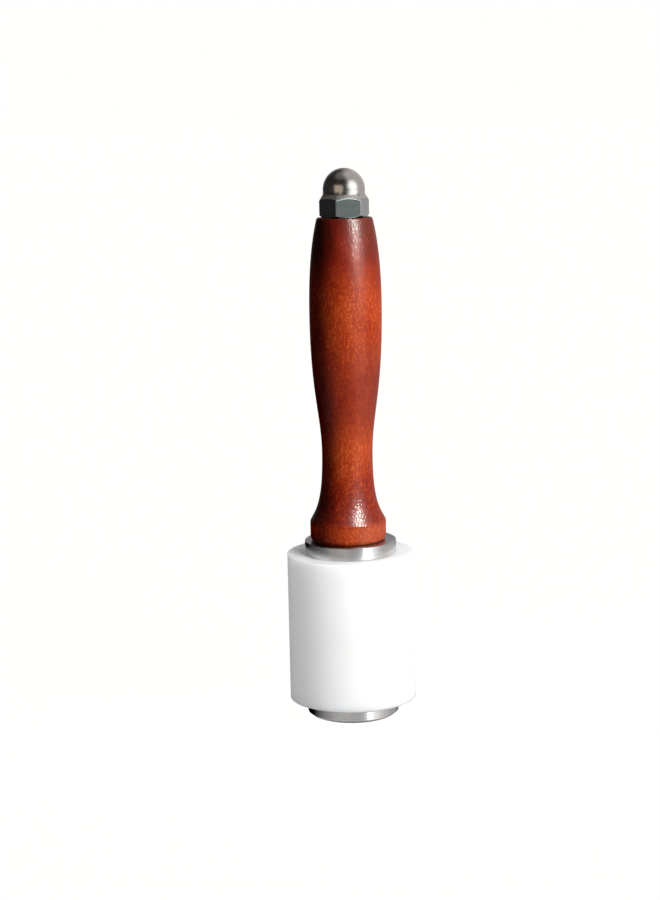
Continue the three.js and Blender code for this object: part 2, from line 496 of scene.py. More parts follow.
class ThreadTree(GeometryTree):
    """Winds a thread's ridge round the Z axis as one welded skin, open at its two ends."""

    WELD = 0.002 * MM
    ROWS_PER_TURN = 16
    STEPS_PER_TURN = 64

    # Whole turns that are wound past the two ends before these are cut flat
    SPARE_BELOW = 2
    SPARE_ABOVE = 1

    def __init__(self, form: ThreadForm) -> None:
        """Builds the tree: a ribbon one pitch wide that meets itself after each turn.

        Args:
            form: The thread's form.
        """
        sizes = ("Crest Radius", "First Turn", "Turns")
        super().__init__("thread_form", {size: "NodeSocketFloat" for size in sizes})
        self.form = form
        crest, first, turns = (self.given[size] for size in sizes)
        columns = self.total(self.maths("MULTIPLY", turns, float(self.STEPS_PER_TURN)), 1.0)
        sheet, around, along = self.grid(columns, self.ROWS_PER_TURN + 1)
        turn = self.maths("MULTIPLY", around, turns)
        away = self.maths("ABSOLUTE", self.maths("SUBTRACT", along, form.middle_share))
        root, edge = form.root_share / 2, (1.0 - form.crest_share) / 2
        flank = self.span(away, root, edge, -form.depth, 0.0, Ease.STRAIGHT)
        angle = self.maths("MULTIPLY", turn, 2 * math.pi)
        height = self.maths("MULTIPLY", self.total(turn, along, first), form.pitch)
        self.close(sheet, self.polar(self.total(crest, flank), angle, height), self.WELD)

    def bar(
        self,
        name: str,
        crest_radius: float,
        low: float,
        high: float,
        material: Material,
        limit: Callable[[float], float] | None = None,
    ) -> Piece:
        """A threaded bar with flat ends.

        Args:
            name: Name of the object.
            crest_radius: Radius over the crests.
            low: Height of the lower end.
            high: Height of the upper end.
            material: The bar's finish.
            limit: The largest radius at a height, where an end is chamfered.

        Returns:
            The bar as a closed solid.
        """
        first = math.floor(low / self.form.pitch) - self.SPARE_BELOW
        turns = math.ceil(high / self.form.pitch) + self.SPARE_ABOVE - first
        values = {"Crest Radius": crest_radius, "First Turn": float(first), "Turns": float(turns)}
        bar = self.bake(name, values | {"Material": material})
        work = bmesh.new()
        work.from_mesh(bar.data)
        for vertex in work.verts if limit else ():
            reach = vertex.co.xy.length
            allowed = limit(vertex.co.z)
            if reach > allowed:
                vertex.co.x *= allowed / reach
                vertex.co.y *= allowed / reach
        for height, side in ((low, -1.0), (high, 1.0)):
            everything = work.verts[:] + work.edges[:] + work.faces[:]
            cut = bmesh.ops.bisect_plane(
                work, geom=everything, plane_co=(0, 0, height), plane_no=(0, 0, side), clear_outer=True
            )
            rim = [item for item in cut["geom_cut"] if isinstance(item, bmesh.types.BMEdge)]
            bmesh.ops.contextual_create(work, geom=rim)
        finish_mesh(work, bar)
        return bar


# Finishes


class Paint(NodeTree):
    """A new node material, with one method for each kind of node that the finishes use."""

    # The mix node's inputs and output for two colours
    MIX_INPUTS = (0, 6, 7)
    MIX_OUTPUT = 2

    def __init__(self, name: str) -> None:
        """Makes the material with its one shader.

        Args:
            name: The material's name.
        """
        self.material = bpy.data.materials.new(name)
        self.material.use_nodes = True
        super().__init__(self.material.node_tree)
        self.shader = self.tree.nodes["Principled BSDF"]
        self.place = self.step("ShaderNodeTexCoord", {}, "Object")

    def shade(self, **values: object) -> Material:
        """Feeds the shader and gives the material. An underscore in a name stands for a space."""
        self.feed(self.shader, {name.replace("_", " "): value for name, value in values.items()})
        return self.material

    def noise(
        self,
        size: float,
        detail: float = 2.0,
        twist: float = 0.0,
        stretch: tuple[float, float, float] | None = None,
        place: Socket | None = None,
    ) -> Socket:
        """Smooth noise.

        Args:
            size: Rough size of its features.
            detail: Number of finer layers.
            twist: How far it is distorted.
            stretch: How dense it is along each axis, where that differs.
            place: Where to read it, if not at the object's own coordinates.

        Returns:
            A value around one half.
        """
        vector = place or self.place
        if stretch:
            vector = self.step("ShaderNodeMapping", {"Vector": vector, "Scale": stretch})
        feeds = {"Vector": vector, "Scale": 1.0 / size, "Detail": detail, "Distortion": twist}
        return self.step("ShaderNodeTexNoise", feeds, "Fac")

    def cells(self, size: float, seam: float) -> Socket:
        """Flat cells that lie side by side, with rounded seams between them.

        Args:
            size: Size of a cell.
            seam: Width of the slope along a cell's edge, as a share of its size.

        Returns:
            The height, from 0 in the seams to 1 on the cells.
        """
        feeds = {"Vector": self.place, "Scale": 1.0 / size}
        distance = self.step("ShaderNodeTexVoronoi", feeds, "Distance", feature="DISTANCE_TO_EDGE")
        return self.span(distance, 0.0, seam, 0.0, 1.0)

    def ramp(self, value: Socket, stops: Sequence[tuple[float, Colour]]) -> Socket:
        """A colour ramp.

        Args:
            value: Where it is read.
            stops: Places from 0 to 1 and their colours.

        Returns:
            The colour.
        """
        colours = self.step("ShaderNodeValToRGB", {"Fac": value})
        elements = colours.node.color_ramp.elements
        while len(elements) < len(stops):
            elements.new(0.5)
        for element, (place, colour) in zip(elements, stops):
            element.position = place
            element.color = (*colour, 1.0)
        return colours

    def curve(self, value: Socket, points: Sequence[Point]) -> Socket:
        """A height that follows straight lines through points of place and height."""
        return self.ramp(value, [(place, (height,) * 3) for place, height in points])

    def mix(self, share: Socket | float, first: Socket | Colour, second: Socket | Colour) -> Socket:
        """Two colours mixed by a share of the second."""
        feeds = dict(zip(self.MIX_INPUTS, (share, first, second)))
        return self.step("ShaderNodeMix", feeds, self.MIX_OUTPUT, data_type="RGBA")

    def bump(
        self, height: Socket, depth: float, strength: float = 1.0, under: Socket | None = None
    ) -> Socket:
        """A bumped normal.

        Args:
            height: The height, from 0 to 1.
            depth: What a height of 1 measures.
            strength: Share of the effect.
            under: The normal that it is laid over.

        Returns:
            The normal.
        """
        feeds = {"Height": height, "Distance": depth, "Strength": strength}
        return self.step("ShaderNodeBump", feeds | ({"Normal": under} if under else {}))

    def turning_marks(self, pitch: float, drift: float) -> Socket:
        """The fine rings that a lathe tool leaves, on a face and on a rim alike.

        Args:
            pitch: Rough distance between rings.
            drift: Distance around the piece over which a ring stays itself.

        Returns:
            A value around one half.
        """
        x, y, height = self.parts(self.place)
        radius = self.maths("SQRT", self.total(*(self.maths("MULTIPLY", part, part) for part in (x, y))))
        lengths = ((radius, pitch), (height, pitch), (self.total(x, y), drift))
        shares = [self.maths("DIVIDE", length, unit) for length, unit in lengths]
        place = self.step("ShaderNodeCombineXYZ", dict(enumerate(shares)))
        return self.noise(1.0, 3.0, place=place)


@dataclass(frozen=True)
class StainedWood:
    """Close-grained hardwood with a red-brown stain under gloss lacquer.

    Args:
        dark: Colour of the darkest wood, which the painted shade on the -X side reaches.
        middle: Colour of most of the wood.
        light: Colour of the lighter wood.
        fleck: Colour of the lightest flecks.
        tones: The tones that these four colours stand at.
        contrast: Share of the tones that the wood shows.
        painted_sheen: Colour of the painted sheen, a milky reflection painted into the wood's colour on its
            +X side.
        end_grain: Colour of the two end faces, which soak up more stain.
        end_faces: Span from how level a face is to its share of that colour.
        speckle: Size of a speck of grain.
        streak: Width of a streak along the grain.
        cloud: Size of the soft patches of stain.
        specks: Span from the noise of specks to their tone.
        streaks: Span from the noise of streaks to their tone.
        clouds: Span from the noise of clouds to their tone.
        sheen: Span from the noise of clouds to the wood's roughness.
        pores: Depth of the grain.
        skin: Size of the crackled cells in the lacquer.
        seam_share: Width of the slope along a cell's edge.
        crackle: Depth of the crackle.
        gloss: Span from the height in the handle to the lacquer's gloss, which is more on the flare.
        least_gloss: The gloss in the seams.
        width: The width over which the painted shade across the handle is given.
        painted_sheen_side: Span from the place across the handle to the share of painted sheen.
    """

    dark: Colour = (0.050, 0.0040, 0.0015)
    middle: Colour = (0.295, 0.0150, 0.0025)
    light: Colour = (0.620, 0.0680, 0.0060)
    fleck: Colour = (0.860, 0.1580, 0.0290)
    tones: tuple[float, ...] = (0.06, 0.37, 0.74, 1.0)
    contrast: float = 0.77
    painted_sheen: Colour = (0.560, 0.1900, 0.1150)
    end_grain: Colour = (0.040, 0.0050, 0.0020)
    end_faces: Span = (0.80, 0.97, 0.0, 0.9)
    speckle: float = 0.64 * MM
    streak: float = 0.38 * MM
    cloud: float = 8.0 * MM
    specks: Span = (0.47, 0.68, 0.0, 0.42)
    streaks: Span = (0.48, 0.70, 0.0, 0.32)
    clouds: Span = (0.30, 0.70, -0.09, 0.10)
    sheen: Span = (0.3, 0.7, 0.40, 0.50)
    pores: float = 0.020 * MM
    skin: float = 1.35 * MM
    seam_share: float = 0.26
    crackle: float = 0.034 * MM
    gloss: Span = (0.13, 0.24, 0.33, 0.18)
    least_gloss: float = 0.04
    width: float = 30.0 * MM
    painted_sheen_side: Span = (0.48, 0.72, 0.0, 1.0)

    # How light the wood is along the handle, from its base to its top
    tone_along: tuple[Point, ...] = (
        (0.000, 0.78), (0.052, 0.81), (0.072, 0.40), (0.140, 0.44), (0.220, 0.66),
        (0.290, 0.84), (0.350, 0.65), (0.450, 0.54), (0.560, 0.58), (0.640, 0.74),
        (0.710, 0.82), (0.780, 0.72), (0.850, 0.59), (0.920, 0.36), (1.000, 0.27),
    )

    # Painted shade across the handle, from -X to +X: how much lighter or darker than one half the wood is
    # painted, darkest on the -X side away from the lamps and somewhat darker at the +X edge
    painted_shade_across: tuple[Point, ...] = (
        (0.08, 0.08), (0.18, 0.18), (0.26, 0.31), (0.36, 0.45),
        (0.44, 0.505), (0.62, 0.505), (0.80, 0.385), (0.92, 0.37),
    )

    # How strongly the grain shows along the handle
    grain_along: tuple[Point, ...] = (
        (0.00, 1.00), (0.12, 0.70), (0.27, 1.00), (0.38, 0.45), (0.50, 0.38),
        (0.62, 0.80), (0.74, 0.90), (0.88, 0.38), (1.00, 0.34),
    )

    # How much painted sheen, a milky reflection painted on the +X side, there is along the handle
    painted_sheen_along: tuple[Point, ...] = (
        (0.00, 0.26), (0.05, 0.26), (0.07, 0.02), (0.25, 0.06), (0.40, 0.15),
        (0.56, 0.13), (0.66, 0.01), (0.84, 0.04), (0.95, 0.12),
    )

    def material(self, base: float, top: float) -> Material:
        """Builds the material.

        Args:
            base: Height of the handle's base.
            top: Height of the handle's top.

        Returns:
            The material.
        """
        paint = Paint(Slot.STAINED_WOOD.value)
        x, _, z = paint.parts(paint.place)
        share = paint.span(z, base, top, 0.0, 1.0, Ease.STRAIGHT)
        side = paint.maths("MULTIPLY_ADD", x, 1.0 / self.width, 0.5)
        cloud = paint.noise(self.cloud, 3.0, 0.4, (1.0, 1.0, 0.55))
        speckle = paint.noise(self.speckle, 2.0, 0.4, (1.0, 1.0, 0.62))
        streak = paint.noise(self.streak, 1.0, 0.2, (1.0, 1.0, 0.14))

        grain = paint.total(paint.span(speckle, *self.specks), paint.span(streak, *self.streaks))
        grain = paint.maths("MULTIPLY", grain, paint.curve(share, self.grain_along))
        # Painted shade: the wood is darkened on its -X side, away from the lamps, and a little at its +X
        # edge
        across = paint.maths("SUBTRACT", paint.curve(side, self.painted_shade_across), 0.5)
        showing = paint.curve(share, self.tone_along)
        tone = paint.total(showing, paint.span(cloud, *self.clouds), grain, across)
        stops = list(zip(self.tones, (self.dark, self.middle, self.light, self.fleck)))
        colour = paint.ramp(paint.maths("MULTIPLY", tone, self.contrast), stops)
        # Painted sheen: a milky salmon reflection is mixed into the colour on the +X side
        painted_sheen_share = (paint.curve(share, self.painted_sheen_along), paint.span(side, *self.painted_sheen_side))
        colour = paint.mix(paint.maths("MULTIPLY", *painted_sheen_share), colour, self.painted_sheen)
        slope = paint.parts(paint.step("ShaderNodeNewGeometry", {}, "Normal"))[2]
        ends = paint.span(paint.maths("ABSOLUTE", slope), *self.end_faces)
        colour = paint.mix(ends, colour, self.end_grain)

        under = paint.bump(paint.total(speckle, streak), self.pores, 0.5)
        cells = paint.cells(self.skin, self.seam_share)
        gloss = paint.span(share, *self.gloss)
        return paint.shade(
            Base_Color=colour,
            Roughness=paint.span(cloud, *self.sheen),
            Specular_IOR_Level=0.08,
            Coat_Weight=paint.maths("MULTIPLY_ADD", cells, gloss, self.least_gloss),
            Coat_Roughness=0.11,
            Normal=under,
            Coat_Normal=paint.bump(cells, self.crackle, 1.0, under),
        )


@dataclass(frozen=True)
class WhiteNylon:
    """White cast nylon, turned and faced, satin and slightly see-through at its edges.

    Args:
        clean: Colour of a clean part.
        handled: Colour of the faintly yellowed patches.
        patch: Size of these patches.
        patches: Span from the noise of patches to the share of that colour.
        speck: Size of the specks that make it satin.
        satin: Span from the noise of specks to the roughness.
        grit: Depth of the specks.
        pitch: Distance between turning marks.
        drift: Distance around the piece over which a mark stays itself.
        depth: Depth of the marks.
        glow: How far light travels under the surface.
    """

    clean: Colour = (0.90, 0.90, 0.90)
    handled: Colour = (0.875, 0.875, 0.87)
    patch: float = 18.0 * MM
    patches: Span = (0.35, 0.7, 0.0, 1.0)
    speck: float = 0.9 * MM
    satin: Span = (0.3, 0.7, 0.36, 0.5)
    grit: float = 0.01 * MM
    pitch: float = 0.22 * MM
    drift: float = 30.0 * MM
    depth: float = 0.012 * MM
    glow: float = 7.0 * MM

    def material(self) -> Material:
        """Builds the material.

        Returns:
            The material.
        """
        paint = Paint(Slot.WHITE_NYLON.value)
        patches = paint.span(paint.noise(self.patch, 3.0), *self.patches)
        specks = paint.noise(self.speck)
        marks = paint.bump(paint.turning_marks(self.pitch, self.drift), self.depth, 0.5)
        return paint.shade(
            Base_Color=paint.mix(patches, self.clean, self.handled),
            Roughness=paint.span(specks, *self.satin),
            Subsurface_Weight=0.85,
            Subsurface_Radius=(1.0, 0.92, 0.85),
            Subsurface_Scale=self.glow,
            Specular_IOR_Level=0.45,
            Normal=paint.bump(specks, self.grit, 0.4, marks),
        )


@dataclass(frozen=True)
class TurnedSteel:
    """Steel with the grain of its machining.

    Args:
        slot: The material slot it fills.
        bright: Colour of the clean metal.
        dull: Colour in the bottom of the marks.
        smooth: Lowest roughness.
        rough: Highest roughness.
        pitch: Distance between turning marks.
        depth: Depth of the marks.
        grain: How much the marks stretch a highlight, from 0 to 1.
        scratch: Strength of the fine stray scratches.
        drift: Distance around the piece over which a mark stays itself.
        marked: Span from the noise of marks to the share of the bright colour.
        patch: Size of the dull patches.
        patches: Span from the noise of patches to the share of the dull colour.
        stray: Width of a stray scratch.
        stray_depth: Depth of the stray scratches.
        matt: How much rougher weld metal is.
        fade: Height over which weld metal turns into clean metal.
    """

    slot: Slot
    bright: Colour
    dull: Colour
    smooth: float
    rough: float
    pitch: float
    depth: float
    grain: float
    scratch: float
    drift: float = 22.0 * MM
    marked: Span = (0.35, 0.65, 0.0, 1.0)
    patch: float = 5.0 * MM
    patches: Span = (0.42, 0.75, 0.0, 0.35)
    stray: float = 0.35 * MM
    stray_depth: float = 0.004 * MM
    matt: float = 0.32
    fade: float = 0.3 * MM

    def material(self, weld_top: float | None = None) -> Material:
        """Builds the material.

        Args:
            weld_top: Height up to which the surface is weld metal, where there is some.

        Returns:
            The material.
        """
        paint = Paint(self.slot.value)
        marks = paint.turning_marks(self.pitch, self.drift)
        patch = paint.noise(self.patch, 4.0)
        stray = paint.noise(self.stray, 2.0, 0.8, (1.0, 0.12, 0.45))
        scratches = paint.span(stray, 0.60, 0.68, 0.0, self.scratch)
        colour = paint.mix(paint.span(marks, *self.marked), self.dull, self.bright)
        colour = paint.mix(paint.span(patch, *self.patches), colour, self.dull)
        worn = paint.total(paint.maths("MULTIPLY", marks, 0.5), paint.maths("MULTIPLY", patch, 0.5))
        rough = paint.total(paint.span(worn, 0.35, 0.65, self.smooth, self.rough), scratches)
        if weld_top is not None:
            height = paint.parts(paint.place)[2]
            rough = paint.total(rough, paint.span(height, weld_top - self.fade, weld_top, self.matt, 0.0))
        lines = paint.bump(marks, self.depth, 0.7)
        return paint.shade(
            Base_Color=colour,
            Metallic=1.0,
            Roughness=rough,
            Anisotropic=self.grain,
            Anisotropic_Rotation=0.25,
            Tangent=paint.step("ShaderNodeTangent", {}, direction_type="RADIAL", axis="Z"),
            Normal=paint.bump(scratches, self.stray_depth, 0.5, lines),
        )


DISC_STEEL = TurnedSteel(
    slot=Slot.TURNED_STEEL,
    bright=(0.62, 0.625, 0.63),
    dull=(0.50, 0.50, 0.495),
    smooth=0.20,
    rough=0.27,
    pitch=0.20 * MM,
    depth=0.006 * MM,
    grain=0.8,
    scratch=0.03,
)
STUD_STEEL = TurnedSteel(
    slot=Slot.STUD_STEEL,
    bright=(0.58, 0.59, 0.59),
    dull=(0.42, 0.43, 0.43),
    smooth=0.30,
    rough=0.46,
    pitch=0.10 * MM,
    depth=0.006 * MM,
    grain=0.4,
    scratch=0.08,
)
HEX_STEEL = TurnedSteel(
    slot=Slot.NUT_STEEL,
    bright=(0.39, 0.43, 0.42),
    dull=(0.37, 0.41, 0.40),
    smooth=0.15,
    rough=0.19,
    pitch=1.6 * MM,
    depth=0.0006 * MM,
    grain=0.0,
    scratch=0.03,
)
DOME_STEEL = TurnedSteel(
    slot=Slot.DOME_STEEL,
    bright=(0.62, 0.60, 0.58),
    dull=(0.54, 0.52, 0.50),
    smooth=0.18,
    rough=0.24,
    pitch=0.35 * MM,
    depth=0.0012 * MM,
    grain=0.0,
    scratch=0.05,
)


# The pieces


@dataclass
class Shop:
    """What all pieces are made with.

    Args:
        lathe: Turns outlines.
        die: Winds threads.
        segments: Segments around a large turned piece.
        bore_gap: Radial gap between the stud and the holes it passes through.
        play: Radial gap between a thread and its nut.
        overrun: How far a tool body reaches past what it cuts.
        done: The finished pieces of each slot.
    """

    lathe: TurningTree
    die: ThreadTree
    segments: int = 192
    bore_gap: float = 0.3 * MM
    play: float = 0.2 * MM
    overrun: float = 1.0 * MM
    done: dict[Slot, list[Piece]] = field(default_factory=dict)

    def turn(self, name: str, outline: Outline, material: Material) -> Piece:
        """Turns an outline into a piece.

        Args:
            name: The piece's name.
            outline: Its outline.
            material: Its finish.

        Returns:
            The piece as a closed solid.
        """
        values = {"Segments": self.segments, "Material": material}
        piece = self.lathe.bake(name, values, outline.points())
        work = bmesh.new()
        work.from_mesh(piece.data)
        finish_mesh(work, piece)
        return piece

    def tap(self, low: float, high: float, mouth: float, material: Material) -> Piece:
        """The tool body of a threaded hole with its lower mouth opened out.

        Args:
            low: Height of the mouth.
            high: Height of the hole's upper end.
            mouth: Width of the chamfer around the mouth.
            material: The finish of the hole's wall.

        Returns:
            The tool body.
        """
        radius, depth = Stud.from_frame().radius, self.die.form.depth
        thread = self.die.bar("tap_thread", radius, low - self.overrun, high + self.overrun, material)
        below, above = low - self.overrun, low + mouth + depth
        rim = [(0.0, below), (radius + mouth + self.overrun, below), (radius - depth, above), (0.0, above)]
        cone = Outline(closed=False).run(rim)
        return carve(thread, self.turn("tap_mouth", cone, material), Cut.JOIN)

    def settle(self, piece: Piece, body: Body, slot: Slot, node: str) -> None:
        """Puts a finished piece in the place of its node.

        Args:
            piece: The piece.
            body: The body that it rides on.
            slot: The slot that its finish comes from.
            node: The node that it stands for.
        """
        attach(piece, body.value)
        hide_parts(node)
        self.done.setdefault(slot, []).append(piece)
        faces = len(piece.data.polygons)
        LOG.info("%s: %d faces, rides on %s, stands for %s", piece.name, faces, body.value, node)


@dataclass(frozen=True)
class Stud:
    """The threaded stud that holds the stack together.

    Args:
        radius: Radius of its plain part.
        low: Height of its foot end.
        high: Height of its nut end.
        end_chamfer: Width of the chamfer on both ends.
        shank_edge: Rounding of the edges where the plain part ends.
        past_disc: How far the lower thread runs on above the foot disc.
        past_hex: How far the upper thread runs on below the hexagon.
        slot_width: Width of the screwdriver slot in the foot end.
        slot_depth: Depth of that slot.
    """

    radius: float
    low: float
    high: float
    end_chamfer: float = 0.9 * MM
    shank_edge: float = 0.1 * MM
    past_disc: float = 3.5 * MM
    past_hex: float = 5.5 * MM
    slot_width: float = 1.6 * MM
    slot_depth: float = 2.0 * MM

    @classmethod
    def from_frame(cls) -> "Stud":
        """Reads the stud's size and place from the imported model."""
        low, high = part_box("tie_rod")
        return cls(radius=high.y, low=low.z, high=high.z)

    def allowed(self, height: float, crest: float) -> float:
        """The largest radius at a height, with both ends chamfered."""
        room = min(height - self.low, self.high - height)
        return max(0.0, crest - self.end_chamfer + room) if room < self.end_chamfer else crest

    def build(self, shop: Shop) -> None:
        """Winds the two threads, turns the shank, joins them and saws the slot.

        Args:
            shop: What the pieces are made with.
        """
        material = STUD_STEEL.material()
        crest = self.radius - shop.play
        foot_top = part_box("foot_disc")[1].z + self.past_disc
        nut_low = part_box("cap_nut_hex")[0].z - self.past_hex
        shank = Outline(closed=False).add(0.0, foot_top)
        shank.run([(self.radius, foot_top), (self.radius, nut_low)], self.shank_edge).add(0.0, nut_low)
        rod = shop.turn("tie_rod_fine", shank, material)
        ends = ((self.low, foot_top + shop.overrun), (nut_low - shop.overrun, self.high))
        for low, high in ends:
            thread = shop.die.bar(
                "thread", crest, low, high, material, lambda height: self.allowed(height, crest)
            )
            rod = carve(rod, thread, Cut.JOIN)
        rod = carve(rod, self._saw(shop), Cut.AWAY)
        shop.settle(rod, Body.HEAD, Slot.STUD_STEEL, "tie_rod")

    def _saw(self, shop: Shop) -> Piece:
        """The tool body of the screwdriver slot.

        Args:
            shop: What the pieces are made with.

        Returns:
            The tool body.
        """
        work = bmesh.new()
        bmesh.ops.create_cube(work, size=1.0)
        length = 2 * (self.radius + shop.overrun)
        depth = self.slot_depth + shop.overrun
        bmesh.ops.scale(work, vec=(length, self.slot_width, depth), verts=work.verts[:])
        middle = self.low + self.slot_depth - depth / 2
        bmesh.ops.translate(work, vec=(0.0, 0.0, middle), verts=work.verts[:])
        saw = linked("saw", bpy.data.meshes.new("saw"))
        finish_mesh(work, saw)
        return saw


@dataclass(frozen=True)
class Head:
    """The nylon head between its two steel discs.

    Args:
        disc_edge: Chamfer of the discs' edges.
        foot_bevel: Width and height of the bevel on the foot disc's lower edge.
        nylon_edge: Chamfer of the head's edges.
        burr: Rounding of each machined corner.
        mouth: Chamfer of the foot disc's threaded hole.
    """

    disc_edge: float = 0.2 * MM
    foot_bevel: Point = (1.35 * MM, 1.1 * MM)
    nylon_edge: float = 0.2 * MM
    burr: float = 0.08 * MM
    mouth: float = 0.6 * MM

    def _block(self, node: str, bore: float, edge: float, bevel: Point | None = None) -> Outline:
        """The outline of a bored round block from its node's box.

        Args:
            node: The node.
            bore: Radius of the bore.
            edge: Chamfer of the outer edges.
            bevel: Width and height of the lower outer edge, if it differs.

        Returns:
            The outline.
        """
        width, rise = bevel or (edge, edge)
        low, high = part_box(node)
        radius = high.x
        under = [(bore, low.z), (radius - width, low.z), (radius, low.z + rise)]
        over = [(radius, high.z - edge), (radius - edge, high.z), (bore, high.z)]
        return Outline().run(under + over, self.burr)

    def build(self, shop: Shop) -> None:
        """Turns the head and the two discs, and taps the foot disc.

        Args:
            shop: What the pieces are made with.
        """
        steel = DISC_STEEL.material()
        nylon = WhiteNylon().material()
        bore = Stud.from_frame().radius + shop.bore_gap
        head = shop.turn("nylon_head_fine", self._block("nylon_head", bore, self.nylon_edge), nylon)
        shop.settle(head, Body.HEAD, Slot.WHITE_NYLON, "nylon_head")
        collar = shop.turn("collar_disc_fine", self._block("collar_disc", bore, self.disc_edge), steel)
        shop.settle(collar, Body.HEAD, Slot.TURNED_STEEL, "collar_disc")

        low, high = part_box("foot_disc")
        outline = self._block("foot_disc", shop.overrun, self.disc_edge, self.foot_bevel)
        blank = shop.turn("foot_disc_fine", outline, steel)
        foot = carve(blank, shop.tap(low.z, high.z, self.mouth, steel), Cut.AWAY)
        shop.settle(foot, Body.HEAD, Slot.TURNED_STEEL, "foot_disc")


@dataclass(frozen=True)
class Handle:
    """The turned wooden handle.

    Its outline is a straight band at the base, a hollow flare to the waist, a long swell to the
    belly and a crown that draws in under the nut. Heights are above its base.

    Args:
        base: Radius of the band.
        band_height: Height of the band's crisp upper edge.
        waist: Radius of the waist.
        waist_height: Height of the waist.
        belly: Radius of the belly.
        belly_height: Height of the belly.
        top: Radius of the top.
        flare_inwards: How far in the flare's lower guide lies, as a share of the flare.
        flare_shares: How far up its lower guide lies and how far down its upper one.
        swell_shares: The same for the swell.
        crown_share: How far up the crown's one guide lies.
        base_rounding: Rounding of the lower edge.
        band_rounding: Rounding of the band's upper edge.
        top_rounding: Rounding of the upper edge.
        bore_rounding: Rounding of the hole's two mouths.
        held: Distance from a rounding at which a long side gets a further point.
        base_offset: How far the outside stands off the stud at the base, towards -X.
        bore_wall: How far around the hole nothing is moved with the outside.
        curve_steps: Edges in each of the three curves.
    """

    base: float = 14.9 * MM
    band_height: float = 7.7 * MM
    waist: float = 9.9 * MM
    waist_height: float = 33.8 * MM
    belly: float = 14.05 * MM
    belly_height: float = 90.9 * MM
    top: float = 10.7 * MM
    flare_inwards: float = 0.33
    flare_shares: Point = (0.146, 0.776)
    swell_shares: Point = (0.287, 0.586)
    crown_share: float = 0.629
    base_rounding: float = 1.6 * MM
    band_rounding: float = 0.35 * MM
    top_rounding: float = 0.8 * MM
    bore_rounding: float = 0.3 * MM
    held: float = 0.4 * MM
    base_offset: float = 0.8 * MM
    bore_wall: float = 0.5 * MM
    curve_steps: int = 44

    def outline(self, bore: float, length: float) -> Outline:
        """The handle's outline with its base at height zero.

        Args:
            bore: Radius of the hole.
            length: Length of the handle.

        Returns:
            The outline.
        """
        flare_rise = self.waist_height - self.band_height
        swell_rise = self.belly_height - self.waist_height
        crown_rise = length - self.belly_height
        inwards = self.flare_inwards * (self.base - self.waist)
        flare = (
            (self.base, self.band_height),
            (self.base - inwards, self.band_height + self.flare_shares[0] * flare_rise),
            (self.waist, self.waist_height - self.flare_shares[1] * flare_rise),
            (self.waist, self.waist_height),
        )
        swell = (
            (self.waist, self.waist_height),
            (self.waist, self.waist_height + self.swell_shares[0] * swell_rise),
            (self.belly, self.belly_height - self.swell_shares[1] * swell_rise),
            (self.belly, self.belly_height),
        )
        crown = (
            (self.belly, self.belly_height),
            (self.belly, self.belly_height + self.crown_share * crown_rise),
            (self.top, length),
        )
        outline = Outline(hold=self.held)
        outline.add(bore, 0.0, self.bore_rounding)
        outline.add(self.base, 0.0, self.base_rounding)
        outline.add(*flare[0], self.band_rounding)
        outline.run(bezier(flare, self.curve_steps)[2:])
        outline.run(bezier(swell, self.curve_steps)[1:])
        outline.run(bezier(crown, self.curve_steps)[1:-2])
        outline.add(self.top, length, self.top_rounding)
        return outline.add(bore, length, self.bore_rounding)

    def build(self, shop: Shop) -> None:
        """Turns the handle and leans its outside over, with the hole left on the stud's axis.

        Args:
            shop: What the pieces are made with.
        """
        low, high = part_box("handle")
        length = high.z - low.z
        bore = Stud.from_frame().radius + shop.bore_gap
        wood = StainedWood().material(low.z, high.z)
        piece = shop.turn("handle_fine", self.outline(bore, length), wood)
        for vertex in piece.data.vertices:
            if vertex.co.xy.length > bore + self.bore_wall:
                vertex.co.x -= self.base_offset * (1.0 - vertex.co.z / length)
            vertex.co.z += low.z
        shop.settle(piece, Body.HANDLE, Slot.STAINED_WOOD, "handle")


def heading(angle: float) -> Vector:
    """The level direction at an angle from +X."""
    return Vector((math.cos(angle), math.sin(angle)))


